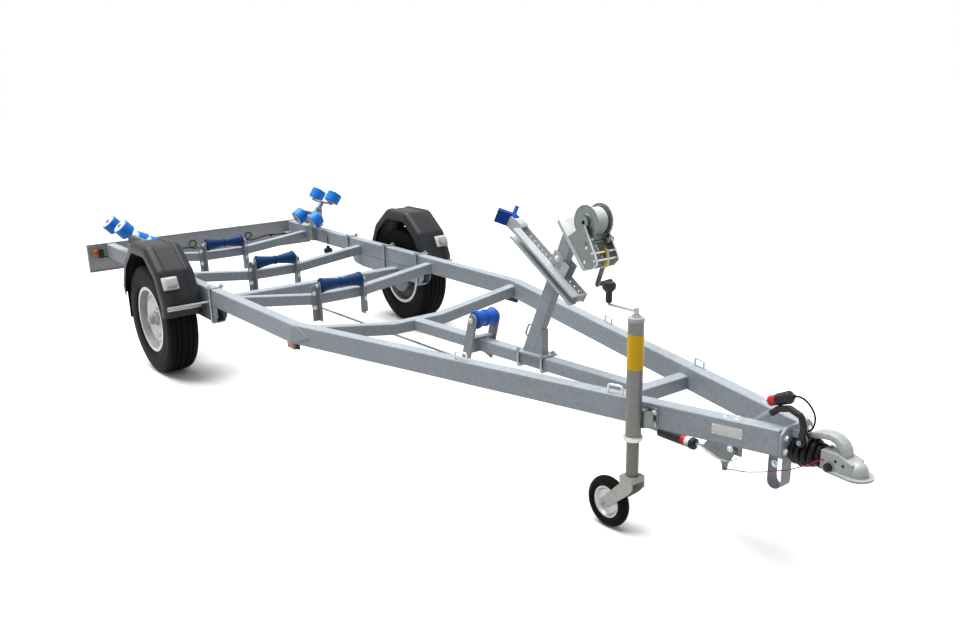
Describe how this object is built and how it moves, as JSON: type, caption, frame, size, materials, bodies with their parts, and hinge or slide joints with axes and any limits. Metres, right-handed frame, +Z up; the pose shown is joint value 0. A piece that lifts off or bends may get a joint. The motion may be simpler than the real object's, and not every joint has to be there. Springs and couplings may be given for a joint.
{
  "type": "boat trailer",
  "caption": "Braked single-axle boat trailer with keel rollers, swinging rear roller cradles, winch post, light board and jockey wheel.",
  "frame": {"origin": "on the ground under the middle of the trailer's length and width", "axes": "+X forwards to the coupling, +Y to the trailer's left, +Z up"},
  "size_m": [5.59, 1.97, 1.2034],
  "materials": {
    "axle": "hot-dip galvanised",
    "axle_brackets": "hot-dip galvanised",
    "bellows": "matt",
    "bow_arm": "hot-dip galvanised",
    "bow_stop": "satin",
    "brake_linkage": "zinc plated",
    "breakaway_cable": "sheathed",
    "clamp_bolts": "zinc plated",
    "coupling_handle": "zinc plated",
    "coupling_head": "zinc plated",
    "cradle_left": "hot-dip galvanised",
    "cradle_right": "hot-dip galvanised",
    "cradle_roller_left_inner_front": "satin",
    "cradle_roller_left_inner_rear": "satin",
    "cradle_roller_left_outer_front": "satin",
    "cradle_roller_left_outer_rear": "satin",
    "cradle_roller_right_inner_front": "satin",
    "cradle_roller_right_inner_rear": "satin",
    "cradle_roller_right_outer_front": "satin",
    "cradle_roller_right_outer_rear": "satin",
    "crank_grip": "moulded",
    "cross_members": "hot-dip galvanised",
    "drawbar_rails": "hot-dip galvanised",
    "handbrake_lever": "moulded",
    "jockey_bracket": "hot-dip galvanised",
    "jockey_crank": "zinc plated",
    "jockey_fork": "zinc plated",
    "jockey_inner_tube": "zinc plated",
    "jockey_knob": "moulded",
    "jockey_outer_tube": "hot-dip galvanised",
    "jockey_rim": "satin",
    "jockey_tyre": "matt",
    "keel_beam": "hot-dip galvanised",
    "keel_roller_1": "satin",
    "keel_roller_2": "satin",
    "keel_roller_3": "satin",
    "keel_roller_4": "satin",
    "light_board": "satin",
    "light_cable": "matt",
    "marker_lamps": "clear and amber lenses",
    "mudguard_left": "moulded",
    "mudguard_right": "moulded",
    "mudguard_stays": "hot-dip galvanised",
    "overrun_housing": "hot-dip galvanised",
    "plug": "moulded",
    "plug_cable": "matt",
    "rear_lamps": "red and amber lenses",
    "rim_left": "silver",
    "rim_right": "silver",
    "roller_brackets": "hot-dip galvanised",
    "rope_eyes": "zinc plated",
    "side_rails": "hot-dip galvanised",
    "tyre_left": "matt",
    "tyre_right": "matt",
    "winch_crank": "zinc plated",
    "winch_drum": "zinc plated",
    "winch_frame": "zinc plated",
    "winch_post": "hot-dip galvanised",
    "winch_rope": "laid rope"
  },
  "bodies": {
    "chassis": {"axle": "axle", "axle_brackets": "axle_brackets", "bellows": "bellows", "bow_arm": "bow_arm", "bow_stop": "bow_stop", "brake_linkage": "brake_linkage", "breakaway_cable": "breakaway_cable", "clamp_bolts": "clamp_bolts", "coupling_handle": "coupling_handle", "coupling_head": "coupling_head", "cross_members": "cross_members", "drawbar_rails": "drawbar_rails", "handbrake_lever": "handbrake_lever", "jockey_bracket": "jockey_bracket", "jockey_crank": "jockey_crank", "jockey_knob": "jockey_knob", "jockey_outer_tube": "jockey_outer_tube", "keel_beam": "keel_beam", "light_board": "light_board", "light_cable": "light_cable", "marker_lamps": "marker_lamps", "mudguard_left": "mudguard_left", "mudguard_right": "mudguard_right", "mudguard_stays": "mudguard_stays", "overrun_housing": "overrun_housing", "plug": "plug", "plug_cable": "plug_cable", "rear_lamps": "rear_lamps", "roller_brackets": "roller_brackets", "rope_eyes": "rope_eyes", "side_rails": "side_rails", "winch_frame": "winch_frame", "winch_post": "winch_post"},
    "wheel_left": {"rim_left": "rim_left", "tyre_left": "tyre_left"},
    "wheel_right": {"rim_right": "rim_right", "tyre_right": "tyre_right"},
    "keel_roller_1": {"keel_roller_1": "keel_roller_1"},
    "keel_roller_2": {"keel_roller_2": "keel_roller_2"},
    "keel_roller_3": {"keel_roller_3": "keel_roller_3"},
    "keel_roller_4": {"keel_roller_4": "keel_roller_4"},
    "cradle_left": {"cradle_left": "cradle_left"},
    "cradle_right": {"cradle_right": "cradle_right"},
    "winch_drum": {"winch_drum": "winch_drum", "winch_rope": "winch_rope"},
    "winch_crank": {"winch_crank": "winch_crank", "crank_grip": "crank_grip"},
    "jockey_leg": {"jockey_inner_tube": "jockey_inner_tube"},
    "jockey_caster": {"jockey_fork": "jockey_fork"},
    "jockey_wheel": {"jockey_rim": "jockey_rim", "jockey_tyre": "jockey_tyre"},
    "cradle_roller_left_outer_front": {"cradle_roller_left_outer_front": "cradle_roller_left_outer_front"},
    "cradle_roller_left_outer_rear": {"cradle_roller_left_outer_rear": "cradle_roller_left_outer_rear"},
    "cradle_roller_left_inner_front": {"cradle_roller_left_inner_front": "cradle_roller_left_inner_front"},
    "cradle_roller_left_inner_rear": {"cradle_roller_left_inner_rear": "cradle_roller_left_inner_rear"},
    "cradle_roller_right_outer_front": {"cradle_roller_right_outer_front": "cradle_roller_right_outer_front"},
    "cradle_roller_right_outer_rear": {"cradle_roller_right_outer_rear": "cradle_roller_right_outer_rear"},
    "cradle_roller_right_inner_front": {"cradle_roller_right_inner_front": "cradle_roller_right_inner_front"},
    "cradle_roller_right_inner_rear": {"cradle_roller_right_inner_rear": "cradle_roller_right_inner_rear"}
  },
  "joints": [
    {"name": "wheel_left_spin", "type": "hinge", "parent": "chassis", "child": "wheel_left", "pos_m": [-1.287, 0.8745, 0.325], "axis": [0, 1, 0], "continuous": true},
    {"name": "wheel_right_spin", "type": "hinge", "parent": "chassis", "child": "wheel_right", "pos_m": [-1.287, -0.8745, 0.325], "axis": [0, 1, 0], "continuous": true},
    {"name": "keel_roller_1_spin", "type": "hinge", "parent": "chassis", "child": "keel_roller_1", "pos_m": [-2.3997, 0, 0.5], "axis": [0, 1, 0], "continuous": true},
    {"name": "keel_roller_2_spin", "type": "hinge", "parent": "chassis", "child": "keel_roller_2", "pos_m": [-1.5797, 0, 0.5], "axis": [0, 1, 0], "continuous": true},
    {"name": "keel_roller_3_spin", "type": "hinge", "parent": "chassis", "child": "keel_roller_3", "pos_m": [-0.7107, 0, 0.5], "axis": [0, 1, 0], "continuous": true},
    {"name": "keel_roller_4_spin", "type": "hinge", "parent": "chassis", "child": "keel_roller_4", "pos_m": [0.698, 0, 0.566], "axis": [0, 1, 0], "continuous": true},
    {"name": "cradle_left_tilt", "type": "hinge", "parent": "chassis", "child": "cradle_left", "pos_m": [-2.272, 0.713, 0.681], "axis": [1, 0, 0], "range_deg": [-100.4, 15.6]},
    {"name": "cradle_roller_left_outer_front_spin", "type": "hinge", "parent": "cradle_left", "child": "cradle_roller_left_outer_front", "pos_m": [-2.152, 0.77703, 0.77044], "axis": [0, 0.5821, 0.8131], "continuous": true},
    {"name": "cradle_roller_left_outer_rear_spin", "type": "hinge", "parent": "cradle_left", "child": "cradle_roller_left_outer_rear", "pos_m": [-2.392, 0.77703, 0.77044], "axis": [0, 0.5821, 0.8131], "continuous": true},
    {"name": "cradle_roller_left_inner_front_spin", "type": "hinge", "parent": "cradle_left", "child": "cradle_roller_left_inner_front", "pos_m": [-2.152, 0.61812, 0.62534], "axis": [0, 0.8625, 0.506], "continuous": true},
    {"name": "cradle_roller_left_inner_rear_spin", "type": "hinge", "parent": "cradle_left", "child": "cradle_roller_left_inner_rear", "pos_m": [-2.392, 0.61812, 0.62534], "axis": [0, 0.8625, 0.506], "continuous": true},
    {"name": "cradle_right_tilt", "type": "hinge", "parent": "chassis", "child": "cradle_right", "pos_m": [-2.272, -0.693, 0.64], "axis": [1, 0, 0], "range_deg": [-11, 81]},
    {"name": "cradle_roller_right_outer_front_spin", "type": "hinge", "parent": "cradle_right", "child": "cradle_roller_right_outer_front", "pos_m": [-2.152, -0.76802, 0.72045], "axis": [0, -0.682, 0.7314], "continuous": true},
    {"name": "cradle_roller_right_outer_rear_spin", "type": "hinge", "parent": "cradle_right", "child": "cradle_roller_right_outer_rear", "pos_m": [-2.392, -0.76802, 0.72045], "axis": [0, -0.682, 0.7314], "continuous": true},
    {"name": "cradle_roller_right_inner_front_spin", "type": "hinge", "parent": "cradle_right", "child": "cradle_roller_right_inner_front", "pos_m": [-2.152, -0.59174, 0.59702], "axis": [0, -0.9205, 0.3907], "continuous": true},
    {"name": "cradle_roller_right_inner_rear_spin", "type": "hinge", "parent": "cradle_right", "child": "cradle_roller_right_inner_rear", "pos_m": [-2.392, -0.59174, 0.59702], "axis": [0, -0.9205, 0.3907], "continuous": true},
    {"name": "winch_drum_spin", "type": "hinge", "parent": "chassis", "child": "winch_drum", "pos_m": [1.44955, 0, 1.1324], "axis": [0, 1, 0], "continuous": true},
    {"name": "winch_crank_turn", "type": "hinge", "parent": "chassis", "child": "winch_crank", "pos_m": [1.47178, 0, 1.04829], "axis": [0, 1, 0], "continuous": true},
    {"name": "jockey_leg_slide", "type": "slide", "parent": "chassis", "child": "jockey_leg", "axis": [0, 0, 1], "range_m": [-0.12, 0.14]},
    {"name": "jockey_caster_swivel", "type": "hinge", "parent": "jockey_leg", "child": "jockey_caster", "pos_m": [1.979, -0.286, 0.246], "axis": [0, 0, 1], "continuous": true},
    {"name": "jockey_wheel_spin", "type": "hinge", "parent": "jockey_caster", "child": "jockey_wheel", "pos_m": [1.857, -0.286, 0.105], "axis": [0, 1, 0], "continuous": true}
  ],
  "couplings": [
    {"joint": "winch_crank_turn", "follows": "winch_drum_spin", "ratio": -3.1429}
  ]
}
